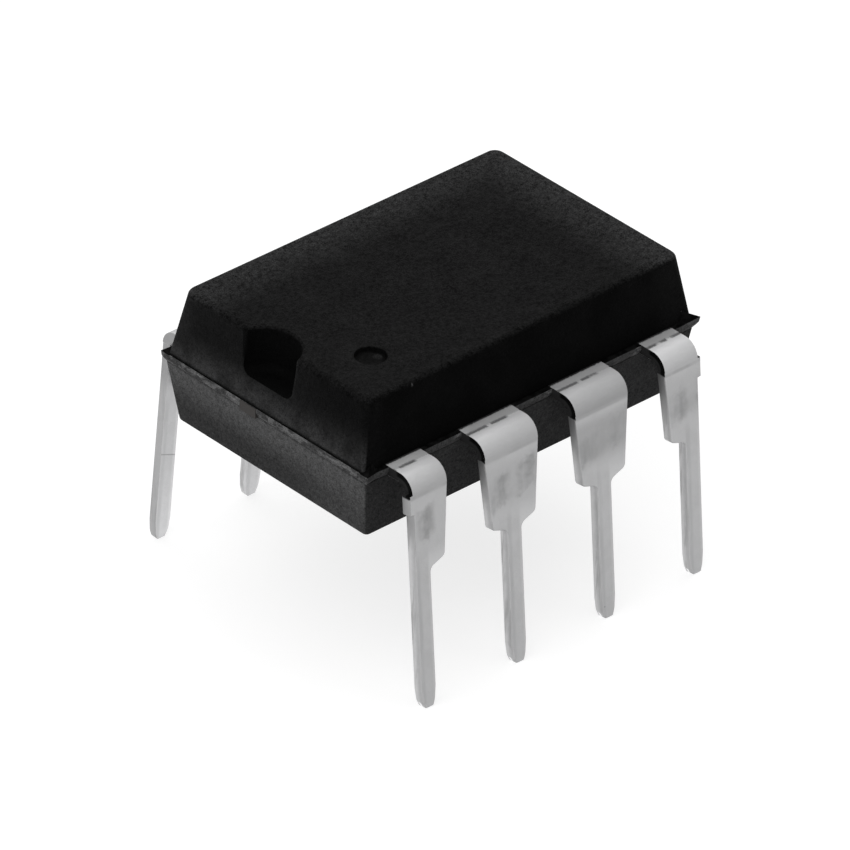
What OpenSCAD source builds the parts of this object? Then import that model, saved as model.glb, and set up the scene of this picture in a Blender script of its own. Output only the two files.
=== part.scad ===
// Eight-lead dual in-line integrated circuit package.
// A moulded resin body over a stamped and formed leadframe, with the die and its bond wires inside.
// Millimetres. X runs along the body with the notch at -X, lead 1 is at -X and -Y, Z = 0 is at the lead tips.

/* [Body] */
// Length of the body at the parting plane
body_length = 9.22; // [8.8:0.01:9.8]
// Width of the upper half at the parting plane
upper_width = 5.92; // [5.6:0.01:6.2]
// Width of the lower half at the parting plane
lower_width = 6.08; // [5.8:0.01:6.3]
// Height of the upper half, from the leadframe to the top face
upper_height = 1.56; // [1.3:0.01:1.8]
// Height of the lower half, from the underside to the leadframe
lower_height = 1.44; // [1.2:0.01:1.9]
// Mould draft of the two end faces, in degrees
end_draft = 8.5; // [4:0.5:12]
// Mould draft of the two long sides, in degrees
side_draft = 6.5; // [4:0.5:12]
// Radius of the edges round the top face
top_edge_radius = 0.12; // [0.06:0.01:0.2]
// Radius of the edges round the underside
foot_edge_radius = 0.08; // [0.04:0.01:0.1]
// Plan radius of the upright corners at the top face
top_corner_radius = 0.25; // [0.22:0.01:0.4]
// Plan radius of the upright corners at the underside
foot_corner_radius = 0.12; // [0.11:0.01:0.3]
// Plan radius of the upright corners at the parting plane
parting_corner_radius = 0.05; // [0.03:0.01:0.1]

/* [Mould flash] */
// Reach of the resin flash past each end face
flash_end = 0.06; // [0.02:0.01:0.1]
// Reach of the resin flash past the upper half on each long side
flash_side = 0.13; // [0.1:0.01:0.2]
// Further reach of the sharp flash point at each corner
flash_point = 0.08; // [0.02:0.01:0.1]
// Length of each flash point along the body's side
flash_point_length = 0.34; // [0.2:0.01:0.4]

/* [Marks in the mould] */
// Radius of the end notch at the top face, inside its rounded rim
notch_radius = 0.78; // [0.6:0.01:0.9]
// Radius of the end notch at its floor, outside the fillet
notch_floor_radius = 0.73; // [0.5:0.01:0.8]
// Depth of the end notch below the top face
notch_depth = 1.00; // [0.6:0.01:1.1]
// Radius of the rounded rim of the notch
notch_rim = 0.10; // [0.04:0.01:0.14]
// Radius of the fillet round the floor of the notch
notch_fillet = 0.20; // [0.1:0.01:0.3]
// Distance of the notch from the middle line of the body, towards the far row
notch_shift = 0.08; // [0:0.01:0.15]
// Diameter of the round dimple beside lead 1
dimple_diameter = 0.70; // [0.4:0.01:0.9]
// Depth of the dimple
dimple_depth = 0.09; // [0.04:0.01:0.2]
// Distance of the dimple's centre from the middle of the body, along it
dimple_x = 3.16; // [2.8:0.01:3.3]
// Distance of the dimple's centre from the middle of the body, across it
dimple_y = 1.54; // [1.2:0.01:1.8]
// Diameter of the two ejector marks on the underside
ejector_diameter = 1.00; // [0.6:0.01:1.4]
// Depth of the ejector marks
ejector_depth = 0.05; // [0.02:0.01:0.1]
// Distance between the two ejector marks
ejector_spacing = 5.20; // [4:0.1:6]

/* [Lead rows] */
// Spacing of the leads along a row
lead_pitch = 2.54; // [2.5:0.01:2.6]
// Spacing of the two rows, between lead centres at the level of the underside
row_spacing = 7.66; // [7.5:0.01:7.9]
// Outward slope of the legs, in degrees
splay = 6.0; // [2:0.1:8]
// Thickness of the leadframe
frame_thickness = 0.22; // [0.2:0.01:0.26]
// Inner radius of the bend in each lead
bend_radius = 0.17; // [0.12:0.01:0.22]
// Height of the seating plane above the lead tips
seat_height = 3.27; // [2.9:0.01:3.8]
// Gap from the seating plane to the underside of the body
standoff = 0.45; // [0.38:0.01:0.6]

/* [Lead outline] */
// Width of the narrow leg
leg_width = 0.41; // [0.36:0.01:0.5]
// Half width of the neck and bend, on a side that has a shoulder
neck_half_width = 0.735; // [0.6:0.005:0.8]
// Step by which the cut dam bar leaves the shoulder wider than the bend
dam_step = 0.015; // [0.005:0.005:0.03]
// Half width of the shoulder at its foot
shoulder_half_width = 0.61; // [0.5:0.01:0.68]
// Slope height of the shoulder's foot
shoulder_rise = 0.14; // [0.05:0.01:0.2]
// Radius of the shoulder's lower corner
shoulder_corner = 0.12; // [0.06:0.01:0.14]
// Fillet between the shoulder and the leg
shoulder_fillet = 0.14; // [0.06:0.01:0.16]
// Reach of the cut dam bar stub on the outer side of each corner lead
stub_reach = 0.09; // [0.04:0.01:0.14]
// Length of that stub along the leg
stub_length = 0.46; // [0.3:0.01:0.6]
// Length of the taper at each tip
tip_taper = 0.47; // [0.3:0.01:0.6]
// Height of the sheared facets at the end of each tip
tip_shear = 0.17; // [0.08:0.01:0.24]
// Half width above the facet, on the side of the tip that is sheared first
tip_cut_half = 0.170; // [0.14:0.005:0.19]
// Half width above the facet, on the other side
tip_plain_half = 0.175; // [0.15:0.005:0.195]
// Reach of the flat end from the middle of the leg, on the side that is sheared first
tip_cut_end = 0.09; // [0.04:0.01:0.12]
// Reach of the flat end from the middle of the leg, on the other side
tip_plain_end = 0.12; // [0.08:0.005:0.14]
// Distance of the bending tool's mark from the middle line of the body
tool_mark_y = 3.245; // [3.2:0.005:3.3]
// Width of that mark
tool_mark_width = 0.07; // [0.04:0.01:0.1]
// Depth of that mark
tool_mark_depth = 0.012; // [0.005:0.001:0.02]

/* [Leadframe inside the body] */
// Length of the die pad, along the body
pad_length = 3.10; // [2.8:0.01:3.4]
// Width of the die pad
pad_width = 2.30; // [2.1:0.01:2.5]
// Drop of the die pad below the leads
pad_downset = 0.20; // [0.1:0.01:0.3]
// Length of the slope in each tie bar
tie_slope_length = 0.30; // [0.2:0.01:0.5]
// Width of the tie bars
tie_width = 0.48; // [0.3:0.01:0.5]
// Distance of each tie bar from the middle line
tie_offset = 0.47; // [0.4:0.01:0.5]
// Least gap between the pieces of the leadframe
frame_gap = 0.25; // [0.2:0.01:0.3]
// Width of the inner end of each lead, where its wire is bonded
finger_width = 0.60; // [0.5:0.01:0.7]
// Distance along the elbow of a corner lead, from its inner end to where its outer side turns
elbow_run = 1.20; // [1.0:0.01:1.3]
// Distance of a middle lead's inner end from the middle line of the body
finger_x = 1.00; // [0.9:0.01:1.1]
// Length of the straight neck that each lead keeps inside the body
neck_grip = 0.50; // [0.4:0.01:0.6]
// Diameter of the resin lock hole in each lead
lock_hole = 0.40; // [0.3:0.01:0.44]
// Distance of that hole's centre outwards from the end of a middle lead's neck
lock_hole_shift = 0.10; // [0.05:0.01:0.15]
// Radius of the corners in the stamped leadframe
stamp_radius = 0.08; // [0.04:0.01:0.1]

/* [Die and wires] */
// Length of the silicon die, along the body
die_length = 1.90; // [1.6:0.01:2.2]
// Width of the silicon die
die_width = 1.40; // [1.2:0.01:1.6]
// Thickness of the silicon die
die_thickness = 0.30; // [0.2:0.01:0.38]
// Thickness of the adhesive under the die
attach_thickness = 0.03; // [0.02:0.01:0.06]
// Width of the adhesive that shows past each side of the die
attach_margin = 0.05; // [0.02:0.01:0.1]
// Diameter of the bond wire
wire_diameter = 0.040; // [0.03:0.005:0.06]
// Diameter of the ball at the die end of each wire
ball_diameter = 0.10; // [0.08:0.01:0.12]
// Height of that ball
ball_height = 0.04; // [0.03:0.01:0.05]
// Distance of the balls from the edge of the die
ball_inset = 0.12; // [0.1:0.01:0.16]
// Distance of a corner lead's ball from the middle line of the die
corner_ball_y = 0.35; // [0.2:0.01:0.45]
// Distance of a middle lead's ball from the middle of the die, along it
middle_ball_x = 0.38; // [0.2:0.01:0.5]
// Height of the wire's control point above the die, which sets the loop
loop_height = 0.42; // [0.3:0.01:0.55]
// Length of the flattened stitch at the lead end of each wire
stitch_length = 0.10; // [0.06:0.01:0.14]
// Width of the stitch, in diameters of the wire
stitch_spread = 1.6; // [1.2:0.1:2]
// Height of the stitch, in diameters of the wire
stitch_flatness = 0.5; // [0.3:0.05:0.8]
// Distance of the stitch from the end of the lead
stitch_inset = 0.25; // [0.2:0.01:0.3]

/* [Hidden] */

// Levels above the lead tips
body_bottom = seat_height + standoff;
frame_bottom = body_bottom + lower_height;
frame_top = frame_bottom + frame_thickness;
body_top = frame_top + upper_height;
pad_top = frame_top - pad_downset;
die_bottom = pad_top + attach_thickness;
die_top = die_bottom + die_thickness;

// The leadframe: four columns of leads, whose outer two are corner leads
leads_per_row = 4;
first_lead_x = -lead_pitch * (leads_per_row - 1) / 2;

// The bend: its outer radius, the middle of the metal, and where its centre lies
bend_outer = bend_radius + frame_thickness;
bend_middle = bend_radius + frame_thickness / 2;
bend_z = frame_top - bend_outer;
underside_run = (bend_z + bend_middle * sin(splay) - body_bottom) / cos(splay);
bend_y = row_spacing / 2 - bend_middle * cos(splay) - underside_run * sin(splay);

// Distances down the leg from the end of the bend
leg_run = (bend_z + bend_radius * sin(splay)) / cos(splay);
seat_run = (bend_z + bend_outer * sin(splay) - seat_height) / cos(splay);
shoulder_foot = seat_run - shoulder_rise / 2;
shoulder_root = seat_run + shoulder_rise / 2;
taper_start = leg_run - tip_taper;

leg_half = leg_width / 2;
dam_half = neck_half_width + dam_step;

// Inside the body: the end of the plain necks, and the free ends of the fingers
neck_end = upper_width / 2 - neck_grip;
middle_tip_y = pad_width / 2 + frame_gap;
corner_tip_x = pad_length / 2 + frame_gap;
corner_tip_y = tie_offset + tie_width / 2 + frame_gap;
tie_end = body_length / 2 + flash_end;

// Smoothness
arc_steps = 6;
corner_facets = 32;
round_facets = 48;
wire_sides = 8;
loop_steps = 9;

// How far a cutting shape runs past the face it opens
past = 0.5;

function unit(v) = v / norm(v);

// The arc that rounds the corner p between its neighbours a and b
function corner_arc(a, p, b, r) =
    r == 0 ? [[p.x, p.y]] :
    let (
        corner = [p.x, p.y],
        u = unit([a.x, a.y] - corner),
        w = unit([b.x, b.y] - corner),
        half = acos(u * w) / 2,
        centre = corner + unit(u + w) * r / sin(half),
        start = corner + u * r / tan(half) - centre,
        stop = corner + w * r / tan(half) - centre,
        turn = atan2(start.x * stop.y - start.y * stop.x, start * stop)
    )
    [for (i = [0 : arc_steps]) centre + turned(start, turn * i / arc_steps)];

function turned(v, angle) = [
    v.x * cos(angle) - v.y * sin(angle),
    v.x * sin(angle) + v.y * cos(angle)
];

// An outline whose points are [x, y, corner radius]
function rounded(outline) = [
    for (i = [0 : len(outline) - 1])
        let (count = len(outline))
        each corner_arc(outline[(i + count - 1) % count], outline[i], outline[(i + 1) % count], outline[i][2])
];

// Distance from a drafted face's upper edge to the centre of the rounding under it
function edge_centre(r, draft) = r / cos(draft) - r * tan(draft);

// RESIN BODY

// One drafted half of the body, standing on the parting plane at Z = 0
module mould_half(length, width, height, edge_radius, corner_radius) {
    top_x = length / 2 - height * tan(end_draft) - edge_centre(edge_radius, end_draft);
    top_y = width / 2 - height * tan(side_draft) - edge_centre(edge_radius, side_draft);
    rim = corner_radius - edge_radius;
    hull()
        for (sx = [-1, 1], sy = [-1, 1]) {
            translate([sx * (top_x - rim), sy * (top_y - rim), height - edge_radius])
                rotate_extrude($fn = corner_facets)
                    translate([rim, 0])
                        intersection() {
                            circle(r = edge_radius, $fn = corner_facets);
                            translate([-rim, -edge_radius])
                                square([corner_radius, 2 * edge_radius]);
                        }
            translate([
                sx * (length / 2 - parting_corner_radius),
                sy * (width / 2 - parting_corner_radius),
                0
            ])
                cylinder(h = parting_corner_radius, r1 = parting_corner_radius, r2 = 0, $fn = corner_facets);
        }
}

// The thin ledge of resin in the plane of the leadframe, with a sharp spike at each corner
module flash_ledge() {
    x = body_length / 2 + flash_end;
    y = upper_width / 2 + flash_side;
    translate([-x, -y, 0])
        cube([2 * x, 2 * y, frame_thickness]);
    for (mx = [0, 1], my = [0, 1])
        mirror([mx, 0, 0])
            mirror([0, my, 0])
                flash_spike(x, y);
}

// The spike at the corner [x, y]: level on top, with an underside that rises to the tip
module flash_spike(x, y) {
    root_x = x - flash_point_length;
    root_y = y - flash_side;
    top = frame_thickness;
    polyhedron(
        points = [
            [root_x, root_y, top], [root_x, y, top], [x, y + flash_point, top], [x, root_y, top],
            [root_x, root_y, 0], [root_x, y, 0], [x, y, 0], [x, root_y, 0]
        ],
        faces = [
            [0, 1, 2, 3], [4, 7, 6, 5], [0, 3, 7, 4], [0, 4, 5, 1], [3, 2, 6, 7], [2, 1, 5], [2, 5, 6]
        ]
    );
}

// The notch is a turned form: a floor with a fillet, a drafted wall, and a rim that opens onto the top face
module end_notch() {
    translate([-body_length / 2, notch_shift, body_top - notch_depth])
        rotate_extrude($fn = round_facets)
            polygon(rounded([
                [0, 0, 0],
                [notch_floor_radius, 0, notch_fillet],
                [notch_radius, notch_depth, notch_rim],
                [notch_radius + past, notch_depth + notch_rim, 0],
                [0, notch_depth + notch_rim, 0]
            ]));
}

module dimple() {
    translate([-dimple_x, -dimple_y, body_top - dimple_depth])
        cylinder(h = dimple_depth + past, d = dimple_diameter, $fn = round_facets);
}

module ejector_marks() {
    for (side = [-1, 1])
        translate([side * ejector_spacing / 2, 0, body_bottom - past])
            cylinder(h = ejector_depth + past, d = ejector_diameter, $fn = round_facets);
}

module moulded_body() {
    color([0.13, 0.13, 0.135])
        difference() {
            union() {
                translate([0, 0, frame_top])
                    mould_half(
                        body_length, upper_width, upper_height, top_edge_radius, top_corner_radius
                    );
                translate([0, 0, frame_bottom])
                    flash_ledge();
                translate([0, 0, frame_bottom])
                    mirror([0, 0, 1])
                        mould_half(
                            body_length, lower_width, lower_height, foot_edge_radius, foot_corner_radius
                        );
            }
            end_notch();
            dimple();
            ejector_marks();
            for (n = [1 : 2 * leads_per_row]) {
                lead_form(n);
                bond_wire_form(n);
            }
            die_pad_form();
            die_attach_form();
            die_form();
        }
}

// LEADS
// Leads 1 to 4 stand in the near row, at -Y. Leads 5 to 8 are the same four turned half round.

// The leg below the bend. A side with a shoulder is wide at the top and steps in at the seating plane,
// and a plain side has only the stub of the cut dam bar.
function shoulder_side() = [
    [dam_half, 0, 0],
    [shoulder_half_width, -shoulder_foot, shoulder_corner],
    [leg_half, -shoulder_root, shoulder_fillet]
];

function plain_side() = [
    [leg_half + stub_reach, 0, 0],
    [leg_half + stub_reach, -stub_length, 0],
    [leg_half, -stub_length, 0]
];

function mirrored(outline) = [
    for (i = [len(outline) - 1 : -1 : 0]) [-outline[i].x, outline[i].y, outline[i][2]]
];

// The tip is sheared to a blunt point: one side is cut back further than the other
function tip_side(cut_first) = [
    [leg_half, -taper_start, 0],
    [cut_first ? tip_cut_half : tip_plain_half, -leg_run + tip_shear, 0],
    [cut_first ? tip_cut_end : tip_plain_end, -leg_run, 0]
];

module leg(left, right, right_cut_first) {
    translate([0, -bend_radius, 0])
        rotate([90, 0, 0])
            linear_extrude(height = frame_thickness)
                polygon(rounded(concat(
                    right, tip_side(right_cut_first),
                    mirrored(tip_side(!right_cut_first)), mirrored(left)
                )));
}

module bend(left, right) {
    rotate([0, -90, 180])
        translate([0, 0, -left])
            rotate_extrude(angle = 90 - splay, $fn = round_facets)
                translate([bend_radius, 0])
                    square([frame_thickness, left + right]);
}

// The shallow groove that the bending tool leaves across a neck
module tool_mark() {
    half = tool_mark_width / 2;
    translate([-body_length / 2, -tool_mark_y, frame_top])
        rotate([90, 0, 90])
            linear_extrude(height = body_length)
                polygon([[-half, 0], [0, -tool_mark_depth], [half, 0], [half, past], [-half, past]]);
}

// The flat part of a lead, in the plane of the leadframe, with the resin lock hole
module finger(outline, hole) {
    difference() {
        translate([0, 0, frame_bottom])
            linear_extrude(height = frame_thickness)
                difference() {
                    polygon(rounded(outline));
                    translate(hole)
                        circle(d = lock_hole, $fn = round_facets);
                }
        tool_mark();
    }
}

// Lead 1: a shoulder on its inner side only, and a finger that runs in to the short side of the pad
module corner_lead(inner_cut_first) {
    outer = first_lead_x - leg_half;
    inner = first_lead_x + neck_half_width;
    elbow_x = outer + finger_width;
    finger(
        [
            [outer, -bend_y, 0],
            [inner, -bend_y, 0],
            [inner, -corner_tip_y - elbow_run, stamp_radius],
            [inner + finger_width / 2, -corner_tip_y - finger_width, stamp_radius],
            [-corner_tip_x, -corner_tip_y - finger_width, stamp_radius],
            [-corner_tip_x, -corner_tip_y, stamp_radius],
            [elbow_x, -corner_tip_y, stamp_radius],
            [outer, -corner_tip_y - elbow_run, stamp_radius]
        ],
        [(outer + inner) / 2, -neck_end + lock_hole / 2]
    );
    translate([first_lead_x, -bend_y, bend_z]) {
        bend(leg_half, neck_half_width);
        rotate([-splay, 0, 0])
            leg(plain_side(), shoulder_side(), inner_cut_first);
    }
}

// Lead 2: a shoulder on both sides, and a finger that runs in to the long side of the pad
module middle_lead(inner_cut_first) {
    lead_x = first_lead_x + lead_pitch;
    finger(
        [
            [lead_x - neck_half_width, -bend_y, 0],
            [lead_x + neck_half_width, -bend_y, 0],
            [lead_x + neck_half_width, -neck_end, stamp_radius],
            [-finger_x + finger_width / 2, -neck_end + neck_grip, stamp_radius],
            [-finger_x + finger_width / 2, -middle_tip_y, stamp_radius],
            [-finger_x - finger_width / 2, -middle_tip_y, stamp_radius],
            [-finger_x - finger_width / 2, -neck_end + neck_grip, stamp_radius],
            [lead_x - neck_half_width, -neck_end, stamp_radius]
        ],
        [lead_x, -neck_end - lock_hole_shift]
    );
    translate([lead_x, -bend_y, bend_z]) {
        bend(neck_half_width, neck_half_width);
        rotate([-splay, 0, 0])
            leg(shoulder_side(), shoulder_side(), inner_cut_first);
    }
}

// Any lead, by its number
module lead_form(n) {
    column = (n - 1) % leads_per_row;
    at_far_row = n > leads_per_row;
    past_middle = column >= leads_per_row / 2;
    rotate([0, 0, at_far_row ? 180 : 0])
        mirror([past_middle ? 1 : 0, 0, 0])
            if (column == 0 || column == leads_per_row - 1)
                corner_lead(past_middle);
            else
                middle_lead(past_middle);
}

module lead(n) {
    color([0.78, 0.78, 0.79])
        lead_form(n);
}

// DIE PAD

// The pad hangs from one tie bar at each end, which rises to the plane of the leads and is cut off flush
module die_pad_form() {
    half_length = pad_length / 2;
    half_width = pad_width / 2;
    translate([0, 0, pad_top - frame_thickness])
        linear_extrude(height = frame_thickness)
            polygon(rounded([
                [-half_length, -half_width, stamp_radius],
                [half_length, -half_width, stamp_radius],
                [half_length, half_width, stamp_radius],
                [-half_length, half_width, stamp_radius]
            ]));
    for (turn = [0, 180])
        rotate([0, 0, turn])
            translate([0, tie_offset + tie_width / 2, 0])
                rotate([90, 0, 0])
                    linear_extrude(height = tie_width)
                        polygon([
                            [-half_length + frame_gap, pad_top],
                            [-half_length, pad_top],
                            [-half_length - tie_slope_length, frame_top],
                            [-tie_end, frame_top],
                            [-tie_end, frame_bottom],
                            [-half_length - tie_slope_length, frame_bottom],
                            [-half_length, pad_top - frame_thickness],
                            [-half_length + frame_gap, pad_top - frame_thickness]
                        ]);
}

module die_pad() {
    color([0.72, 0.45, 0.28])
        die_pad_form();
}

// DIE

module block(length, width, bottom, thickness) {
    translate([-length / 2, -width / 2, bottom])
        cube([length, width, thickness]);
}

module die_attach_form() {
    block(die_length + 2 * attach_margin, die_width + 2 * attach_margin, pad_top, attach_thickness);
}

module die_attach() {
    color([0.62, 0.62, 0.60])
        die_attach_form();
}

module die_form() {
    block(die_length, die_width, die_bottom, die_thickness);
}

module silicon_die() {
    color([0.30, 0.32, 0.38])
        die_form();
}

// BOND WIRES
// Each wire is one sweep of rings: a ball on the die, a loop that rises straight up and falls to the lead,
// and a flattened stitch. A ring is [distance along, height, heading, half width, half height].

function bezier(p, t) =
    pow(1 - t, 3) * p[0] + 3 * pow(1 - t, 2) * t * p[1] + 3 * (1 - t) * t * t * p[2] + pow(t, 3) * p[3];

function bezier_heading(p, t) =
    let (
        slope = pow(1 - t, 2) * (p[1] - p[0]) + 2 * (1 - t) * t * (p[2] - p[1]) + t * t * (p[3] - p[2])
    )
    atan2(slope.y, slope.x);

function wire_rings(distance) =
    let (
        r = wire_diameter / 2,
        ball = ball_diameter / 2,
        drop = frame_top - die_top,
        flat = r * stitch_flatness,
        wide = r * stitch_spread,
        stitch_start = distance - stitch_length,
        path = [
            [0, ball_height],
            [0, loop_height],
            [distance / 2, loop_height],
            [stitch_start, drop + r]
        ]
    )
    concat(
        [[0, 0, 90, ball, ball], [0, ball_height / 2, 90, ball, ball]],
        [
            for (i = [0 : loop_steps])
                let (t = i / loop_steps, at = bezier(path, t))
                [at.x, at.y, bezier_heading(path, t), r, r]
        ],
        [[distance - stitch_length / 2, drop + flat, 0, wide, flat], [distance, drop + flat, 0, wide, flat]]
    );

function ring_points(ring) = [
    for (i = [0 : wire_sides - 1])
        let (
            angle = 360 * (i + 0.5) / wire_sides,
            up = ring[4] * cos(angle),
            across = ring[3] * sin(angle)
        )
        [ring[0] - up * sin(ring[2]), across, ring[1] + up * cos(ring[2])]
];

module swept_wire(start, stop) {
    along = [stop.x - start.x, stop.y - start.y];
    rings = wire_rings(norm(along));
    last = len(rings) - 1;
    translate([start.x, start.y, die_top])
        rotate([0, 0, atan2(along.y, along.x)])
            polyhedron(
                points = [for (ring = rings) each ring_points(ring)],
                faces = concat(
                    [[for (i = [0 : wire_sides - 1]) i]],
                    [
                        for (k = [0 : last - 1], i = [0 : wire_sides - 1])
                            let (next = (i + 1) % wire_sides)
                            [
                                k * wire_sides + i,
                                (k + 1) * wire_sides + i,
                                (k + 1) * wire_sides + next,
                                k * wire_sides + next
                            ]
                    ],
                    [[for (i = [wire_sides - 1 : -1 : 0]) last * wire_sides + i]]
                )
            );
}

// Any wire, by the number of its lead
module bond_wire_form(n) {
    column = (n - 1) % leads_per_row;
    at_far_row = n > leads_per_row;
    corner = column == 0 || column == leads_per_row - 1;
    side = column >= leads_per_row / 2 ? 1 : -1;
    start = corner
        ? [side * (die_length / 2 - ball_inset), -corner_ball_y]
        : [side * middle_ball_x, -die_width / 2 + ball_inset];
    stop = corner
        ? [side * (corner_tip_x + stitch_inset), -corner_tip_y - finger_width / 2]
        : [side * finger_x, -middle_tip_y - stitch_inset];
    rotate([0, 0, at_far_row ? 180 : 0])
        swept_wire(start, stop);
}

module bond_wire(n) {
    color([0.83, 0.68, 0.30])
        bond_wire_form(n);
}

moulded_body();
lead(1);  // lead_1
lead(2);  // lead_2
lead(3);  // lead_3
lead(4);  // lead_4
lead(5);  // lead_5
lead(6);  // lead_6
lead(7);  // lead_7
lead(8);  // lead_8
die_pad();
die_attach();
silicon_die();
bond_wire(1);  // bond_wire_1
bond_wire(2);  // bond_wire_2
bond_wire(3);  // bond_wire_3
bond_wire(4);  // bond_wire_4
bond_wire(5);  // bond_wire_5
bond_wire(6);  // bond_wire_6
bond_wire(7);  // bond_wire_7
bond_wire(8);  // bond_wire_8
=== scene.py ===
import bpy
import bmesh
import math
from mathutils import Matrix, Vector


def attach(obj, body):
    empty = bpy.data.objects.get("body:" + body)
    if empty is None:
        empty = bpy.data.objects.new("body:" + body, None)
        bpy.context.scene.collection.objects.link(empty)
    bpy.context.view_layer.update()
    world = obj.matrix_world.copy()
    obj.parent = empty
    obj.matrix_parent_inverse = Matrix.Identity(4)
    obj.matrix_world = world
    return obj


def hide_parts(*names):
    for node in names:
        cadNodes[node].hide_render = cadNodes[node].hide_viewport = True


# Eight-lead dual in-line chip: black drafted moulding on two rows of bent tin-plated leads.
# Everything is modelled in millimetres in the row frame and brought to metres when it is finished.

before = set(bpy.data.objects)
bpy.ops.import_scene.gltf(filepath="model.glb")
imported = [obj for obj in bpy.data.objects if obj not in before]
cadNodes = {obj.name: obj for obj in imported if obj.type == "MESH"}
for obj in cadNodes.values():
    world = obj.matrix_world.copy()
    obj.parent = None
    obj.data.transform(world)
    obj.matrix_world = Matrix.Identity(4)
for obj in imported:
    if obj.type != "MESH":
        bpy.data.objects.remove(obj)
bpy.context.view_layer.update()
print("frame loaded,", len(cadNodes), "nodes")


# small helpers for working in edit mode

def pick(kind, test):
    bpy.ops.mesh.select_mode(type=kind)
    bpy.ops.mesh.select_all(action="DESELECT")
    shape = bmesh.from_edit_mesh(bpy.context.edit_object.data)
    for part in {"VERT": shape.verts, "EDGE": shape.edges, "FACE": shape.faces}[kind]:
        if test(part):
            part.select_set(True)
    if kind == "VERT":
        shape.select_flush_mode()
    bmesh.update_edit_mesh(bpy.context.edit_object.data)


def middleOf(edge):
    return (edge.verts[0].co + edge.verts[1].co) / 2


def near(a, b, slack=0.004):
    return abs(a - b) < slack


def startPlane(name, size, where):
    bpy.ops.object.select_all(action="DESELECT")
    bpy.ops.mesh.primitive_plane_add(size=1, location=where)
    bpy.ops.object.transform_apply(location=True, rotation=False, scale=False)
    piece = bpy.context.object
    piece.name = piece.data.name = name
    bpy.ops.object.mode_set(mode="EDIT")
    bpy.ops.transform.resize(value=(size[0], size[1], 1), center_override=where)
    return piece


def useModifier(piece, kind, **settings):
    bpy.context.view_layer.objects.active = piece
    step = piece.modifiers.new(kind.title(), kind)
    for key, value in settings.items():
        setattr(step, key, value)
    bpy.ops.object.modifier_apply(modifier=step.name)


def softenEdges(piece, width, sharpest):
    useModifier(piece, "BEVEL", width=width, segments=2, limit_method="ANGLE", angle_limit=math.radians(sharpest))


def cutAway(piece, cutter):
    useModifier(piece, "BOOLEAN", object=cutter, operation="DIFFERENCE", solver="EXACT")
    bpy.data.objects.remove(cutter)


def bringHome(piece):  # millimetres to metres, with the place kept in the mesh
    bpy.ops.object.select_all(action="DESELECT")
    bpy.context.view_layer.objects.active = piece
    piece.select_set(True)
    piece.scale = (0.001, 0.001, 0.001)
    bpy.ops.object.transform_apply(location=True, rotation=True, scale=True)


# RESIN BODY

mould = {
    "length": 9.22, "upperWidth": 5.92, "lowerWidth": 6.08,
    "topZ": 6.94, "partingZ": 5.38, "lowerTopZ": 5.16, "footZ": 3.72,
    "endDraft": 8.5, "sideDraft": 6.5,          # degrees
    "topEdge": 0.107, "footEdge": 0.072,         # run of the rounded edges on each face
    "topCorner": 0.25, "footCorner": 0.12, "partingCorner": 0.05,
    "waist": 0.012, "waistDepth": 0.30,          # how the wall runs down behind the flash
    "notch": (-4.61, 0.08), "notchRadius": 0.78, "notchFloorRadius": 0.73, "notchDepth": 1.00,
    "notchFillet": 0.19, "notchRim": 0.08, "notchLip": 0.10, "notchFlare": 0.5, "notchEdge": 0.04,
    "notchMouth": 0.74,                          # half the notch's width where it meets the end
    "dimple": (-3.16, -1.54), "dimpleRadius": 0.35, "dimpleDepth": 0.09,
    "ejector": 2.60, "ejectorRadius": 0.50, "ejectorDepth": 0.05,
    "rim": 0.022, "sharpest": 38,                # softened rims of the sunk marks
    "smooth": 36,                                # degrees, for the leads too
}


def mouldHalf(name, width, partingZ, endZ, edge, corner):
    height = abs(endZ - partingZ)
    endLength = mould["length"] - 2 * height * math.tan(math.radians(mould["endDraft"]))
    endWidth = width - 2 * height * math.tan(math.radians(mould["sideDraft"]))
    half = startPlane(name, (mould["length"], width), (0, 0, partingZ))
    bpy.ops.mesh.bevel(offset=mould["partingCorner"], segments=8, affect="VERTICES")
    bpy.ops.mesh.select_all(action="DESELECT")
    bpy.ops.mesh.primitive_plane_add(size=1, location=(0, 0, endZ))
    bpy.ops.transform.resize(value=(endLength, endWidth, 1), center_override=(0, 0, endZ))
    bpy.ops.mesh.bevel(offset=corner, segments=8, affect="VERTICES")
    bpy.ops.mesh.select_all(action="SELECT")
    bpy.ops.mesh.delete(type="ONLY_FACE")
    bpy.ops.mesh.select_mode(type="EDGE")
    bpy.ops.mesh.select_all(action="SELECT")
    bpy.ops.mesh.bridge_edge_loops()
    for level in (partingZ, endZ):
        pick("EDGE", lambda e: all(near(v.co.z, level) for v in e.verts))
        bpy.ops.mesh.edge_face_add()
    bpy.ops.mesh.select_all(action="SELECT")
    bpy.ops.mesh.normals_make_consistent(inside=False)
    pick("EDGE", lambda e: all(near(v.co.z, endZ) for v in e.verts))
    bpy.ops.mesh.bevel(offset=edge, segments=6, affect="EDGES")
    bpy.ops.object.mode_set(mode="OBJECT")
    return half


def roundCutter(lowRadius, highRadius, depth, where):
    bpy.ops.object.select_all(action="DESELECT")
    bpy.ops.mesh.primitive_cone_add(
        vertices=72, radius1=lowRadius, radius2=highRadius, depth=depth, location=where)
    return bpy.context.object


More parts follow.
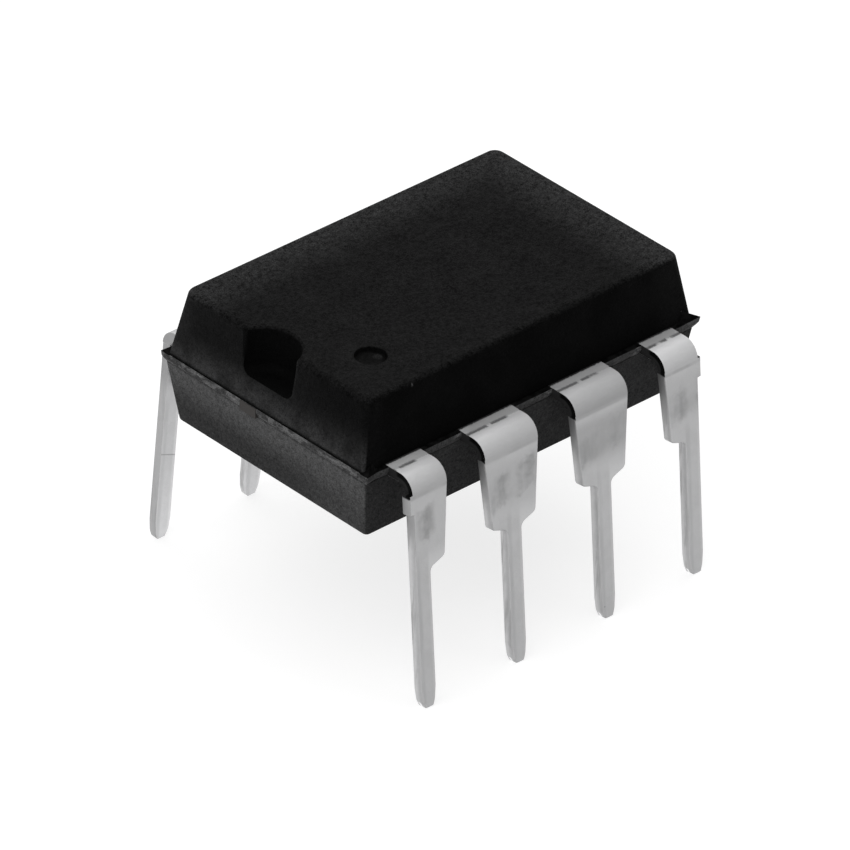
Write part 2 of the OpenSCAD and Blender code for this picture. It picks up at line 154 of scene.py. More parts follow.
def notchCutter():   # a profile of floor, drafted wall and flared rim, turned all the way round
    x, y = mould["notch"]
    floorZ = mould["topZ"] - mould["notchDepth"]
    bpy.ops.object.select_all(action="DESELECT")
    bpy.ops.mesh.primitive_plane_add(size=1, location=(x + 0.5, y, floorZ + 0.5), rotation=(math.pi / 2, 0, 0))
    bpy.ops.object.transform_apply(location=True, rotation=True, scale=True)
    cutter = bpy.context.object
    bpy.ops.object.mode_set(mode="EDIT")
    bpy.ops.mesh.select_all(action="SELECT")
    bpy.ops.transform.resize(
        value=(mould["notchFloorRadius"], 1, mould["notchDepth"]), center_override=(x, y, floorZ))
    pick("VERT", lambda v: v.co.x > x + 0.1 and v.co.z > floorZ + 0.5)
    bpy.ops.transform.translate(value=(mould["notchRadius"] - mould["notchFloorRadius"], 0, 0))
    pick("EDGE", lambda e: all(near(v.co.z, mould["topZ"]) for v in e.verts))
    bpy.ops.mesh.extrude_edges_move(TRANSFORM_OT_translate={"value": (0, 0, mould["notchLip"])})
    pick("VERT", lambda v: v.co.x > x + 0.1 and v.co.z > mould["topZ"] + 0.05)
    bpy.ops.transform.translate(value=(mould["notchFlare"], 0, 0))
    pick("EDGE", lambda e: all(near(v.co.z, mould["topZ"]) for v in e.verts))
    bpy.ops.mesh.dissolve_edges(use_verts=False)
    for level, run in ((floorZ, mould["notchFillet"]), (mould["topZ"], mould["notchRim"])):
        pick("VERT", lambda v: v.co.x > x + 0.1 and near(v.co.z, level))
        bpy.ops.mesh.bevel(offset=run, segments=6, affect="VERTICES")
    pick("FACE", lambda f: True)
    bpy.ops.mesh.delete(type="ONLY_FACE")
    pick("EDGE", lambda e: all(near(v.co.x, x) for v in e.verts))
    bpy.ops.mesh.delete(type="EDGE")
    bpy.ops.mesh.select_all(action="SELECT")
    bpy.ops.mesh.spin(steps=72, angle=2 * math.pi, center=(x, y, floorZ), axis=(0, 0, 1))
    bpy.ops.mesh.select_all(action="SELECT")
    bpy.ops.mesh.remove_doubles(threshold=0.0005)
    bpy.ops.mesh.normals_make_consistent(inside=False)
    bpy.ops.object.mode_set(mode="OBJECT")
    return cutter


upperHalf = mouldHalf("mouldedBody", mould["upperWidth"], mould["partingZ"], mould["topZ"],
                      mould["topEdge"], mould["topCorner"])
bpy.ops.object.mode_set(mode="EDIT")
pick("FACE", lambda f: f.normal.z < -0.9)
bpy.ops.mesh.inset(thickness=mould["waist"])
bpy.ops.mesh.extrude_region_move(TRANSFORM_OT_translate={"value": (0, 0, -mould["waistDepth"])})
bpy.ops.object.mode_set(mode="OBJECT")

cutAway(upperHalf, notchCutter())
upperHalf.select_set(True)
bpy.context.view_layer.objects.active = upperHalf
bpy.ops.object.mode_set(mode="EDIT")
endSlope = math.tan(math.radians(mould["endDraft"]))
pick("EDGE", lambda e: abs((e.verts[0].co - e.verts[1].co).normalized().z) > 0.9 and all(
    near(v.co.x, (v.co.z - mould["partingZ"]) * endSlope - mould["length"] / 2, 0.002)
    and near(abs(v.co.y - mould["notch"][1]), mould["notchMouth"], 0.06) for v in e.verts))
bpy.ops.mesh.bevel(offset=mould["notchEdge"], segments=3, affect="EDGES")
bpy.ops.object.mode_set(mode="OBJECT")
cutAway(upperHalf, roundCutter(
    mould["dimpleRadius"] - 0.02, mould["dimpleRadius"] + 0.02, 2 * mould["dimpleDepth"],
    (mould["dimple"][0], mould["dimple"][1], mould["topZ"])))
softenEdges(upperHalf, mould["rim"], mould["sharpest"])

lowerHalf = mouldHalf("lowerHalf", mould["lowerWidth"], mould["lowerTopZ"], mould["footZ"],
                      mould["footEdge"], mould["footCorner"])
for side in (-1, 1):
    cutAway(lowerHalf, roundCutter(
        mould["ejectorRadius"], mould["ejectorRadius"] - 0.03, 2 * mould["ejectorDepth"],
        (side * mould["ejector"], 0, mould["footZ"])))
softenEdges(lowerHalf, mould["rim"], mould["sharpest"])
print("both mould halves are shaped")


# MOULD FLASH: the rough curb of resin round the parting plane, with a sharp point at each corner

flash = {
    "reachEnd": 4.65, "reachSide": 3.085, "topZ": 5.37,
    "levels": ((5.34, 0), (5.31, 0), (5.28, 0), (5.25, 0.01), (5.21, 0.03), (5.17, 0.055), (5.11, 0.09)),
    "points": {(1, -1): (0.02, -0.09, 0.10), (-1, -1): (-0.01, -0.06, 0.02),   # reach of each corner spike
               (-1, 1): (-0.01, 0.05, 0.02), (1, 1): (0.01, 0.06, 0.03)},
    "pointLength": 0.30, "cutsLong": 240, "cutsShort": 160,
    "lumpSize": 0.30, "lumpHeight": 0.028, "gritSize": 0.06, "gritHeight": 0.012,
    "backZ": 5.25, "inner": 0.93,                        # the curb's hidden back, inside the body
    "endLift": 0.025, "cornerLift": 0.16, "cornerSize": 0.2,   # ends stand higher, corners slope up to the wall
    "smooth": 75,
    "tieBar": 0.45, "tieHalf": 0.22, "tieSink": 0.035,   # where the cut tie bars show
}

curb = startPlane("mouldFlash", (2 * flash["reachEnd"], 2 * flash["reachSide"]), (0, 0, flash["topZ"]))
bpy.ops.mesh.delete(type="ONLY_FACE")
pick("EDGE", lambda e: near(e.verts[0].co.y, e.verts[1].co.y))
bpy.ops.mesh.subdivide(number_cuts=flash["cutsLong"])
pick("EDGE", lambda e: near(e.verts[0].co.x, e.verts[1].co.x) and e.calc_length() > 1)
bpy.ops.mesh.subdivide(number_cuts=flash["cutsShort"])
bpy.ops.mesh.select_all(action="SELECT")
drawnIn = 0
for level, inset in flash["levels"]:
    shape = bmesh.from_edit_mesh(bpy.context.edit_object.data)
    fromZ = next(v.co.z for v in shape.verts if v.select)
    bpy.ops.mesh.extrude_edges_move(TRANSFORM_OT_translate={"value": (0, 0, level - fromZ)})
    if inset > drawnIn:
        bpy.ops.transform.resize(
            value=(1 - (inset - drawnIn) / flash["reachEnd"], 1 - (inset - drawnIn) / flash["reachSide"], 1),
            center_override=(0, 0, level))
    drawnIn = inset
for (end, side), (reachX, reachY, rise) in flash["points"].items():   # lower levels follow a spike's point less
    pick("VERT", lambda v: near(v.co.x, end * flash["reachEnd"]) and near(v.co.y, side * flash["reachSide"])
         and near(v.co.z, flash["topZ"]))
    bpy.ops.transform.translate(
        value=(reachX, reachY, rise), use_proportional_edit=True, proportional_edit_falloff="LINEAR",
        proportional_size=flash["pointLength"])
pick("VERT", lambda v: abs(v.co.x) > 4.6 and abs(v.co.y) < 2.9 and near(v.co.z, flash["topZ"]))
bpy.ops.transform.translate(value=(0, 0, flash["endLift"]))
bpy.ops.object.mode_set(mode="OBJECT")
rough = curb.vertex_groups.new(name="rough")
rough.add([v.index for v in curb.data.vertices], 1.0, "REPLACE")
bpy.ops.object.mode_set(mode="EDIT")
for upper in (True, False):
    pick("EDGE", lambda e: e.is_boundary and (middleOf(e).z > flash["backZ"]) == upper
         and max(abs(middleOf(e).x) / flash["reachEnd"], abs(middleOf(e).y) / flash["reachSide"]) > 0.95)
    bpy.ops.mesh.extrude_edges_move(TRANSFORM_OT_translate={"value": (0, 0, 0)})
    bpy.ops.transform.resize(value=(flash["inner"], flash["inner"], 1), center_override=(0, 0, flash["backZ"]))
    if upper:
        pick("VERT", lambda v: v.co.z > 5.3 and near(abs(v.co.x), flash["inner"] * flash["reachEnd"], 0.03)
             and near(abs(v.co.y), flash["inner"] * flash["reachSide"], 0.09))
        bpy.ops.transform.translate(
            value=(0, 0, flash["cornerLift"]), use_proportional_edit=True, proportional_edit_falloff="SMOOTH",
            proportional_size=flash["cornerSize"])
pick("EDGE", lambda e: e.is_boundary)
bpy.ops.mesh.bridge_edge_loops()
bpy.ops.mesh.select_all(action="SELECT")
bpy.ops.mesh.normals_make_consistent(inside=False)
bpy.ops.object.mode_set(mode="OBJECT")
for name, size, height in (
    ("flashLumps", flash["lumpSize"], flash["lumpHeight"]),
    ("flashGrit", flash["gritSize"], flash["gritHeight"]),
):
    cloud = bpy.data.textures.new(name, "CLOUDS")
    cloud.noise_scale = size
    cloud.noise_depth = 2
    useModifier(curb, "DISPLACE", texture=cloud, texture_coords="LOCAL", strength=height, mid_level=0.5,
                vertex_group="rough")
bpy.ops.object.mode_set(mode="EDIT")
for end in (-1, 1):   # the cut end of each tie bar is left showing
    pick("VERT", lambda v: near(v.co.y, -end * flash["tieBar"], flash["tieHalf"]) and v.co.x * end > 4.5
         and 5.10 < v.co.z < 5.25)
    bpy.ops.transform.translate(value=(-end * flash["tieSink"], 0, 0))
bpy.ops.object.mode_set(mode="OBJECT")
print("flash is roughened")


# LEADS: blank drawn edge by edge, spun round its bend, thickened, then its corners rolled

lead = {
    "frameTop": 5.38, "thickness": 0.22, "splay": math.radians(6.0),
    "bendY": 3.4150, "bendZ": 4.99, "bendOuter": 0.39, "bendSteps": 14,
    "neckEnd": 2.45, "neckHalf": 0.735, "legHalf": 0.205,
    "damHalf": 0.75, "footHalf": 0.61, "foot": 1.70047, "root": 1.84047, "run": 5.03535,
    "footRound": 0.079, "rootRound": 0.10, "tipRound": 0.03,
    "stubReach": 0.09, "stubLength": 0.46,
    "tip": ((0.47, 0.205, 0.205), (0.17, 0.170, 0.175), (0.0, 0.09, 0.12)),  # up from the end, -X half, +X half
    "roll": 0.022, "frontRoll": 0.04,
    "farLean": math.radians(2.0), "farShare": 0.9967,   # the share keeps the leaned tips on the floor
    "middleFinger": ((1.95, -0.03, 0.57), (1.40, -0.03, 0.57)),
    "cornerFinger": ((2.16, -0.205, 0.735), (1.56, 0.095, 1.035), (0.96, 0.395, 1.035)), "arm": 2.01,
    "hole": 0.20, "middleHole": (0.0, -2.55), "cornerHole": (0.265, -2.25),
    "pitch": 2.54,
    "groove": 3.245, "grooveHalf": 0.035, "grooveDepth": 0.012, "sharpest": 40,
}
downLeg = Vector((0, -math.sin(lead["splay"]), -math.cos(lead["splay"])))
outward = Vector((0, -math.cos(lead["splay"]), math.sin(lead["splay"])))
bendCentre = Vector((0, -lead["bendY"], lead["bendZ"]))


def legDistance(co):
    return (co - bendCentre).dot(downLeg)


def nextStation(step, before, after):  # grows the picked edge and gives the new one its two ends
    middleBefore, middleAfter = sum(before) / 2, sum(after) / 2
    bpy.ops.mesh.extrude_edges_move(TRANSFORM_OT_translate={"value": (middleAfter - middleBefore, *step)})
    bpy.ops.transform.resize(
        value=((after[1] - after[0]) / (before[1] - before[0]), 1, 1), center_override=(middleAfter, 0, 0))
    return after


def shapeLead(name, isCorner, hand):
    def handed(left, right):  # hand -1 is the mirror image
        return (left, right) if hand > 0 else (-right, -left)

    neck = handed(-lead["legHalf"] if isCorner else -lead["neckHalf"], lead["neckHalf"])
    neckLength = lead["bendY"] - lead["neckEnd"]
    piece = startPlane(name, (neck[1] - neck[0], neckLength),
                       (sum(neck) / 2, -lead["neckEnd"] - neckLength / 2, lead["frameTop"]))

    # inwards: the finger that the bond wire reaches
    fingers = lead["cornerFinger"] if isCorner else lead["middleFinger"]
    pick("EDGE", lambda e: near(middleOf(e).y, -lead["neckEnd"]))
    ends, y = neck, lead["neckEnd"]
    for nextY, left, right in fingers:
        ends = nextStation((y - nextY, 0), ends, handed(left, right))
        y = nextY
    if isCorner:
        reach = lead["arm"] - fingers[-1][2]
        pick("EDGE", lambda e: near(middleOf(e).x * hand, fingers[-1][2]) and near(middleOf(e).y, -1.26))
        bpy.ops.mesh.extrude_edges_move(TRANSFORM_OT_translate={"value": (hand * reach, 0, 0)})

    # outwards: round the bend and down the leg
    pick("EDGE", lambda e: near(middleOf(e).y, -lead["bendY"]))
    bpy.ops.mesh.spin(
        steps=lead["bendSteps"], angle=math.pi / 2 - lead["splay"], center=bendCentre, axis=(-1, 0, 0))
    stub = lead["legHalf"] + lead["stubReach"]
    tips = [(lead["run"] - up, -left, right) for up, left, right in lead["tip"]]
    if isCorner:
        stations = [
            (0.006, *handed(-stub, lead["damHalf"])),
            (lead["stubLength"], *handed(-stub, lead["damHalf"] - 0.0357)),
            (lead["stubLength"] + 0.012, *handed(-lead["legHalf"], lead["damHalf"] - 0.0366)),
            (lead["foot"], *handed(-lead["legHalf"], lead["footHalf"])),
            (lead["root"], -lead["legHalf"], lead["legHalf"]),
        ]
    else:
        stations = [
            (0.006, -lead["damHalf"], lead["damHalf"]),
            (lead["foot"], -lead["footHalf"], lead["footHalf"]),
            (lead["root"], -lead["legHalf"], lead["legHalf"]),
        ]
    ends, gone = neck, 0
    for distance, left, right in stations + tips:
        step = downLeg * (distance - gone)
        ends = nextStation((step.y, step.z), ends, (left, right))
        gone = distance
    bpy.ops.mesh.select_all(action="SELECT")
    bpy.ops.mesh.remove_doubles(threshold=0.0005)
    bpy.ops.mesh.normals_make_consistent(inside=False)
    shape = bmesh.from_edit_mesh(piece.data)
    if next(f for f in shape.faces if near(f.calc_center_median().z, lead["frameTop"])).normal.z < 0:
        bpy.ops.mesh.flip_normals()
    bpy.ops.mesh.dissolve_limited(angle_limit=math.radians(1))
    bpy.ops.object.mode_set(mode="OBJECT")
    useModifier(piece, "SOLIDIFY", thickness=lead["thickness"], offset=-1, use_even_offset=True)

    holeX, holeY = lead["cornerHole"] if isCorner else lead["middleHole"]
    bpy.ops.mesh.primitive_cylinder_add(
        vertices=40, radius=lead["hole"], depth=1, location=(hand * holeX, holeY, lead["frameTop"] + 0.02))
    cutAway(piece, bpy.context.object)

    # rounded corners of the blank
    bpy.context.view_layer.objects.active = piece
    bpy.ops.object.mode_set(mode="EDIT")

    def through(e):  # an edge that runs through the thickness of the leg
        return abs((e.verts[0].co - e.verts[1].co).normalized().dot(outward)) > 0.98

    for distance, half, run in (
        (lead["foot"], lead["footHalf"], lead["footRound"]), (lead["root"], lead["legHalf"], lead["rootRound"]),
    ):
        pick("EDGE", lambda e: through(e) and near(legDistance(middleOf(e)), distance, 0.01)
             and near(abs(middleOf(e).x), half, 0.01))
        bpy.ops.mesh.bevel(offset=run, segments=5, affect="EDGES")
    pick("EDGE", lambda e: through(e) and legDistance(middleOf(e)) > lead["run"] - 0.2)
    bpy.ops.mesh.bevel(offset=lead["tipRound"], segments=2, affect="EDGES")

    # the punch has rolled the edges of the outer face
    pick("EDGE", lambda e: not through(e) and legDistance(middleOf(e)) > 0.1
         and near((middleOf(e) - bendCentre).dot(outward), lead["bendOuter"], 0.003))
    bpy.ops.mesh.bevel(offset=lead["frontRoll"], segments=4, affect="EDGES")

    # groove left by the bending tool across the neck
    for shift in (-1, 0, 1):
        pick("FACE", lambda f: f.normal.z > 0.95)
        bpy.ops.mesh.bisect(
            plane_co=(0, -lead["groove"] + shift * lead["grooveHalf"], lead["frameTop"]), plane_no=(0, 1, 0))
    pick("EDGE", lambda e: all(near(v.co.y, -lead["groove"]) and near(v.co.z, lead["frameTop"], 0.002)
                               for v in e.verts))
    bpy.ops.transform.translate(value=(0, 0, -lead["grooveDepth"]))
    bpy.ops.object.mode_set(mode="OBJECT")
    softenEdges(piece, lead["roll"], lead["sharpest"])
    return piece


def placeCopy(piece, name, turned, x):
    bpy.ops.object.select_all(action="DESELECT")
    bpy.context.view_layer.objects.active = piece
    piece.select_set(True)
    bpy.ops.object.duplicate(linked=False)
    copied = bpy.context.object
    copied.name = copied.data.name = name
    copied.matrix_world = Matrix.Rotation(math.pi if turned else 0, 4, "Z") @ Matrix.Translation((x, 0, 0))
    bpy.ops.object.transform_apply(location=True, rotation=True, scale=True)
    return copied


def settleFarLead(piece, flushStub):   # the far row leans out a little less, and lead 8 has no stub left
    bpy.ops.object.select_all(action="DESELECT")
    bpy.context.view_layer.objects.active = piece
    bpy.ops.object.mode_set(mode="EDIT")
    if flushStub:
        pick("VERT", lambda v: v.co.x < -lead["pitch"] * 1.5 - lead["legHalf"] - 0.01 and v.co.y > lead["bendY"])
        bpy.ops.transform.translate(value=(lead["stubReach"] - 0.005, 0, 0))
    pick("VERT", lambda v: v.co.y > lead["bendY"] and legDistance(Vector((0, -v.co.y, v.co.z))) > -0.001)
    centre = (0, lead["bendY"], lead["bendZ"])
    bpy.ops.transform.rotate(value=lead["farLean"], orient_axis="X", center_override=centre)
    bpy.ops.transform.resize(value=(1, 1, lead["farShare"]), center_override=centre)
    bpy.ops.object.mode_set(mode="OBJECT")


leads = {}
for number, isCorner, hand in ((1, True, 1), (2, False, 1), (3, False, -1), (4, True, -1)):
    model = shapeLead("leadModel", isCorner, hand)
    x = lead["pitch"] * (number - 2.5)
    leads[number] = placeCopy(model, f"lead{number}", False, x)
    leads[number + 4] = placeCopy(model, f"lead{number + 4}", True, x)
    settleFarLead(leads[number + 4], number == 4)
    bpy.data.objects.remove(model)
    print("leads", number, "and", number + 4, "are bent")


# MATERIALS, all on Object coordinates in millimetres

def newMaterial(name, **fixed):
    material = bpy.data.materials.new(name)
    material.use_nodes = True
    shader = material.node_tree.nodes["Principled BSDF"]
    for socket, value in fixed.items():
        shader.inputs[socket.replace("_", " ")].default_value = value
    return material, shader


def add(material, kind, **settings):
    node = material.node_tree.nodes.new(kind)
    for key, value in settings.items():
        if hasattr(node, key):
            setattr(node, key, value)
        else:
            node.inputs[key.replace("_", " ")].default_value = value
    return node


def join(material, out, into):
    material.node_tree.links.new(out, into)


def compute(material, operation, *values, clamp=False):
    node = add(material, "ShaderNodeMath", operation=operation, use_clamp=clamp)
    for socket, value in zip(node.inputs, values):
        if isinstance(value, (int, float)):
            socket.default_value = value
        else:
            join(material, value, socket)
    return node.outputs[0]


def times(material, first, *others):
    for other in others:
        first = compute(material, "MULTIPLY", first, other)
    return first


def scaled(material, value, factor, added):
    return compute(material, "MULTIPLY_ADD", value, factor, added)


def unsigned(material, value):
    return compute(material, "ABSOLUTE", value)


def length(material, run, rise):
    return compute(material, "SQRT", compute(
        material, "ADD", times(material, run, run), times(material, rise, rise)))


def away(material, first, second, centre):  # distance from a point, in the plane of two coordinates
    run = compute(material, "SUBTRACT", first, centre[0])
    return length(material, run, compute(material, "SUBTRACT", second, centre[1]))


def millimetres(material, stretch=(1, 1, 1)):
    place = add(material, "ShaderNodeTexCoord")
    mapping = add(material, "ShaderNodeMapping")
    mapping.inputs["Scale"].default_value = [1000 * s for s in stretch]
    join(material, place.outputs["Object"], mapping.inputs["Vector"])
    return mapping.outputs["Vector"]


def axes(material, where):
    parts = add(material, "ShaderNodeSeparateXYZ")
    join(material, where, parts.inputs[0])
    return parts.outputs


def fromLead(material, x):  # x counted from the middle of the nearest lead
    half = lead["pitch"] / 2
    return compute(material, "WRAP", compute(material, "ADD", x, half), half, -half)


def noise(material, where, scale, detail=2.0, roughness=0.5):
    node = add(material, "ShaderNodeTexNoise", Scale=scale, Detail=detail, Roughness=roughness)
    join(material, where, node.inputs["Vector"])
    return node.outputs["Fac"]


def between(material, value, low, high, first=0.0, second=1.0):
    node = add(material, "ShaderNodeMapRange", clamp=True)
    node.interpolation_type = "SMOOTHSTEP"
    for key, number in (("From Min", low), ("From Max", high), ("To Min", first), ("To Max", second)):
        node.inputs[key].default_value = number
    join(material, value, node.inputs["Value"])
    return node.outputs["Result"]


def window(material, value, start, full, fading, end):  # 0 outside start to end, 1 from full to fading
    return times(material, between(material, value, start, full), between(material, value, end, fading))


def blend(material, amount, first, second):
    node = add(material, "ShaderNodeMix", data_type="RGBA")
    for socket, value in ((node.inputs[0], amount), (node.inputs[6], first), (node.inputs[7], second)):
        if isinstance(value, tuple):
            socket.default_value = (*value, 1.0)
        else:
            join(material, value, socket)
    return node.outputs[2]


def bump(material, shader, height, distance, strength):
    node = add(material, "ShaderNodeBump", Distance=distance, Strength=strength)
    join(material, height, node.inputs["Height"])
    join(material, node.outputs["Normal"], shader.inputs["Normal"])


def grey(level):
    return (level, level, level * 1.01)


# RESIN, its greys first and then the limits between which each look comes in. The greys are painted light and
# shade: the one black resin gets a lighter grey where a face is better lit and a darker grey where it is in shade

resinLook = {
    "top": 0.0062, "topFar": 0.024, "side": 0.0012, "sideRight": 0.0045, "sideLeft": 0.00315,
    "upperEnd": 0.0070, "endDim": 0.00408, "parting": 0.0042, "lowEnd": 0.042, "lowerEnd": 0.100,
    "lowerSide": 0.034, "lowerSidePale": 0.0442, "recessShade": 0.0014, "dimpleShade": 0.0031, "glint": 0.01364,
    "notchEdge": 0.013, "fleck": 0.052, "flash": 0.070, "flashDark": 0.057, "lump": 0.15, "flashRight": 0.090,
    "roughness": (0.55, 0.70), "specular": 0.019, "grainDepth": 0.000012,
}
resinPlace = {
    "seam": (mould["partingZ"] + mould["lowerTopZ"]) / 2,
    "end": (1.56, 1.64), "top": (6.83, 6.93), "lower": (5.25, 5.11),
    "bounceLight": (0.95, 0.10), "bounceLightCorner": (2.2, 2.75, 0.0, 0.22), "dimY": (-0.8, -1.4), "dimZ": (6.0, 6.5),
    "parting": (5.52, 5.42), "sideRight": (3.4, 4.3), "sideLeft": (-3.8, -4.4), "topFar": (1.3, 2.9),
    "topRight": (2.7, 4.4), "lowEnd": (5.05, 4.1), "lowNear": (-0.5, -2.0, 0.0, 0.4), "lowerPale": (-3.9, -3.0),
    "shadeReachY": (0.3, 0.5), "shadeReachZ": (6.1, 6.9), "shadeWidening": 0.11, "notchOpen": (4.622, 4.606),
    "notchHighlightY": (-0.45, -0.55), "notchHighlightEnd": (4.575, 4.60), "notchHighlightZ": (5.95, 6.1),
    "notchTop": (6.925, 6.865), "dimpleTop": (6.932, 6.91), "dimpleFloor": (6.6, 6.7),
    "dimpleShade": (0.27, 0.22), "glint": (-2.99, -1.56), "fleck": (-3.17, -2.80), "fleckZ": (6.80, 6.85),
    "lump": (-0.98, -0.88, -0.80, -0.70), "flashRight": (4.1, 4.5),
}


def grainyResin(material, shader, where, z, colour):  # mould grain over any resin colour
    grain = noise(material, where, 11.0, 3.0, 0.65)
    cloud = noise(material, where, 1.3, 3.0, 0.55)
    both = compute(material, "ADD", grain, noise(material, where, 34.0, 1.0, 0.5))
    mottled = add(material, "ShaderNodeMix", data_type="RGBA", blend_type="MULTIPLY")
    join(material, between(material, z, 6.90, 6.70, 1.0, 0.45), mottled.inputs[0])
    join(material, colour(cloud), mottled.inputs[6])
    join(material, scaled(material, both, 3.6, -2.6), mottled.inputs[7])
    join(material, mottled.outputs[2], shader.inputs["Base Color"])
    join(material, between(material, cloud, 0.3, 0.7, *resinLook["roughness"]), shader.inputs["Roughness"])
    bump(material, shader, both, resinLook["grainDepth"], 0.8)
    return material


def finishFlash(name):
    look, place = resinLook, resinPlace
    material, shader = newMaterial(name, Specular_IOR_Level=look["specular"])
    where = millimetres(material)
    x, y, z = axes(material, where)

    # painted light: the curb gets a paler grey than the body's resin and paler still toward the right end; paler
    # patches lie between the leads
    def colour(cloud):
        along = noise(material, millimetres(material, (1, 1, 2)), 4.0, 3.0, 0.6)
        base = blend(material, between(material, along, 0.34, 0.62), grey(look["flashDark"]), grey(look["flash"]))
        lump = times(material, window(material, fromLead(material, x), *place["lump"]),
                     between(material, along, 0.45, 0.60))
        base = blend(material, lump, base, grey(look["lump"]))
        return blend(material, between(material, x, *place["flashRight"]), base, grey(look["flashRight"]))

    return grainyResin(material, shader, where, z, colour)


def finishResin(name):
    look, place = resinLook, resinPlace
    material, shader = newMaterial(name, Specular_IOR_Level=look["specular"])
    where = millimetres(material)
    x, y, z = axes(material, where)

    def reach(value, limits):
        return between(material, value, *limits)

    def paint(amount, under, level):
        return blend(material, amount, under, grey(look[level]))

    def colour(cloud):
        fromSeam = unsigned(material, compute(material, "SUBTRACT", z, place["seam"]))
        endWay = scaled(material, fromSeam, math.tan(math.radians(mould["endDraft"])), unsigned(material, x))
        sideWay = scaled(material, fromSeam, math.tan(math.radians(mould["sideDraft"])), unsigned(material, y))
        onEnd = reach(compute(material, "SUBTRACT", endWay, sideWay), place["end"])

        # the upper half: painted light from the floor low on the ends and at their far corners, painted shade on
        # the sides, lighter toward their ends, and the top painted paler toward the far side and the right
        bounceLight = times(material, reach(fromSeam, place["bounceLight"]), between(material, cloud, 0.30, 0.62, 0.25, 1.0))
        bounceLight = compute(material, "MAXIMUM", bounceLight, reach(y, place["bounceLightCorner"]))
        end = paint(bounceLight, grey(look["upperEnd"]), "lowEnd")
        # painted shade on the upper near part of each end
        end = paint(times(material, reach(y, place["dimY"]), reach(z, place["dimZ"])), end, "endDim")
        # painted shade in a band just above the parting line
        end = paint(reach(scaled(material, cloud, 0.10, z), place["parting"]), end, "parting")
        side = paint(reach(x, place["sideRight"]), grey(look["side"]), "sideRight")
        side = paint(reach(x, place["sideLeft"]), side, "sideLeft")
        paler = compute(material, "MAXIMUM", reach(y, place["topFar"]), reach(x, place["topRight"]))
        upper = blend(material, onEnd, side, end)
        upper = blend(material, reach(z, place["top"]), upper, paint(paler, grey(look["top"]), "topFar"))

        # the lower half, painted paler than the upper as lit by the floor below: its ends darker toward the bottom
        # and a little paler on the near side, its sides paler away from the left end
        lowerEnd = paint(reach(z, place["lowEnd"]), grey(look["lowerEnd"]), "lowEnd")
        lowerEnd = paint(reach(y, place["lowNear"]), lowerEnd, "lowerEnd")
        lowerSide = paint(reach(x, place["lowerPale"]), grey(look["lowerSide"]), "lowerSidePale")
        whole = blend(material, reach(z, place["lower"]), upper, blend(material, onEnd, lowerSide, lowerEnd))

        # the notch: painted shade inside, reaching further out at its far corner, with a painted highlight on its
        # near edge
        radius, floorZ = mould["notchRadius"], mould["topZ"] - mould["notchDepth"]
        fromNotch = away(material, x, y, mould["notch"])
        shadeReach = times(material, reach(y, place["shadeReachY"]), reach(z, place["shadeReachZ"]))
        # painted highlight where the near wall of the notch rounds onto the end
        edge = times(material, reach(y, place["notchHighlightY"]), reach(endWay, place["notchHighlightEnd"]),
                     reach(z, place["notchHighlightZ"]), reach(fromNotch, (radius + 0.07, radius + 0.01)))
        whole = paint(edge, whole, "notchEdge")
        # painted shade inside the notch, spread wider at the far corner
        inside = compute(material, "MAXIMUM", reach(endWay, place["notchOpen"]), reach(shadeReach, (0.0, 0.2)))
        shade = times(material, inside, reach(z, place["notchTop"]), reach(z, (floorZ - 0.05, floorZ - 0.01)),
                      reach(scaled(material, shadeReach, -place["shadeWidening"], fromNotch),
                            (radius + 0.015, radius - 0.005)))
        whole = paint(shade, whole, "recessShade")

        # the dimple: painted shade round its wall over a less dark floor, with a painted highlight at its right,
        # and a pale fleck on the near top edge
        radius = mould["dimpleRadius"]
        fromDimple = away(material, x, y, mould["dimple"])
        dimpleShade = paint(reach(fromDimple, place["dimpleShade"]), grey(look["recessShade"]), "dimpleShade")
        dimpleShade = paint(reach(away(material, x, y, place["glint"]), (0.13, 0.03)), dimpleShade, "glint")
        shade = times(material, reach(fromDimple, (radius + 0.015, radius - 0.005)),
                      reach(z, place["dimpleTop"]), reach(z, place["dimpleFloor"]))
        whole = blend(material, shade, whole, dimpleShade)
        fleck = times(material, reach(z, place["fleckZ"]),
                      reach(away(material, x, y, place["fleck"]), (0.035, 0.012)))
        return paint(fleck, whole, "fleck")

    return grainyResin(material, shader, where, z, colour)


# TIN, with limits in millimetres, x counted from the middle of each lead unless it says where

tinPlace = {
    "leg": (3.75, 3.30), "line": (-0.23, -0.17, -0.13, -0.05), "rim": (0.10, 0.19, 0.0, 0.5),
    "shoulder": (3.6, 4.1, 4.6, 4.95), "leadThree": (0.1, 0.2, 2.3, 2.4), "pastLeadOne": (-2.60, -2.50),
    "leadFour": (2.4, 2.7), "smudgeSlant": -0.22, "smudgeLift": 0.25, "smudgeMiddle": 0.15,
    "smudge": (3.80, 4.05, 4.45, 4.72), "smudgeInner": (0.06, 0.30, 0.30, 1.0),
    "smudgeOuter": (0.68, 0.50, 0.3, 1.0), "leadOne": (-2.70, -2.80), "smudgeOne": (-0.22, -0.02, 0.26, 0.42),
    "bendOver": (3.36, 3.62), "bend": (4.86, 5.00), "creaseShade": (4.90, 4.95, 4.97, 5.02),
    "film": (3.235, 3.195), "groove": (3.155, 3.21, 3.235, 3.29), "gap": (-0.20, -0.16, -0.09, -0.05),
    "dashEnd": (0.32, 0.42), "resin": (3.005, 2.965), "nearRow": (-3.0, -3.1), "farRow": (3.0, 3.1),
    "specks": ((1.15, 0.33, 0.022), (-4.00, 0.45, 0.020), (-4.13, 1.25, 0.025)),   # x, z and size
    "nickSlope": 0.42, "nick": (0.52, 0.54, 0.55, 0.57), "leadEight": (-3.5, -3.6),
}


